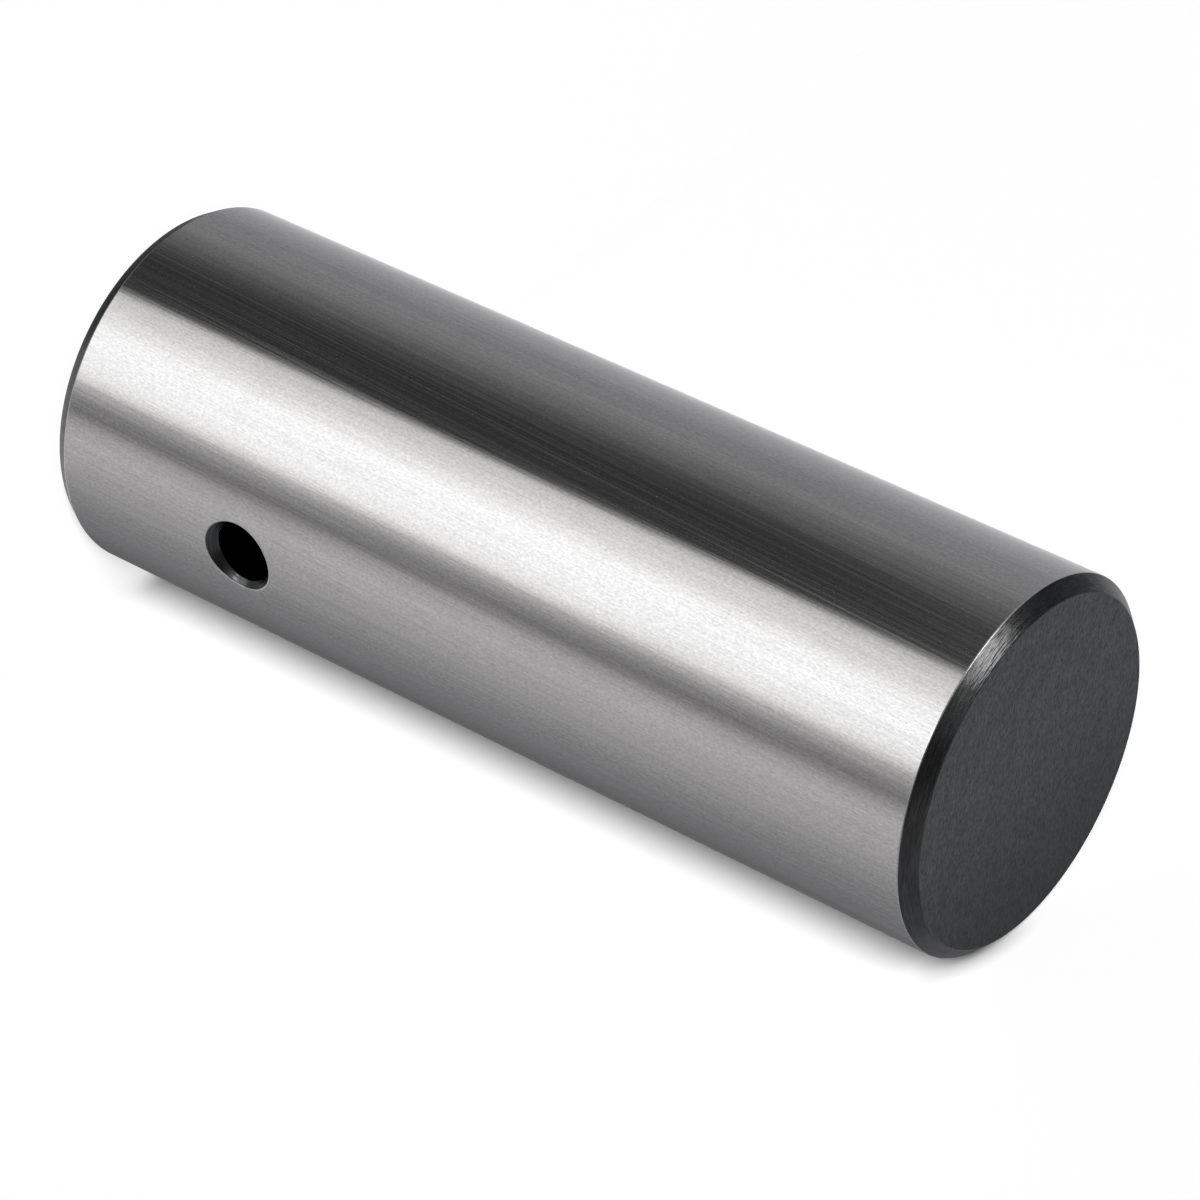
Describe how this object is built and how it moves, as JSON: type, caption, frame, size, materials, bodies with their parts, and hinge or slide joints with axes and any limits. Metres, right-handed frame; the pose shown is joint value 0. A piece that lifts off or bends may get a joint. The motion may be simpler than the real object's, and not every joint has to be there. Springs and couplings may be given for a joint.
{
  "type": "barrel tappet",
  "caption": "Solid steel barrel tappet: a ground cylinder with chamfered dark ends and a countersunk cross hole near its push-rod end.",
  "frame": {"origin": "centre of the push-rod face, which is the base that the tappet stands on", "axes": "+Z along the tappet's axis to the cam face, -Y out of the front mouth of the cross hole"},
  "size_m": [0.03, 0.03, 0.082],
  "materials": {
    "ground_steel": "ground along its length, with dark hardened ends, chamfers and hole"
  },
  "bodies": {
    "root": {"tappet": "ground_steel"}
  },
  "joints": []
}
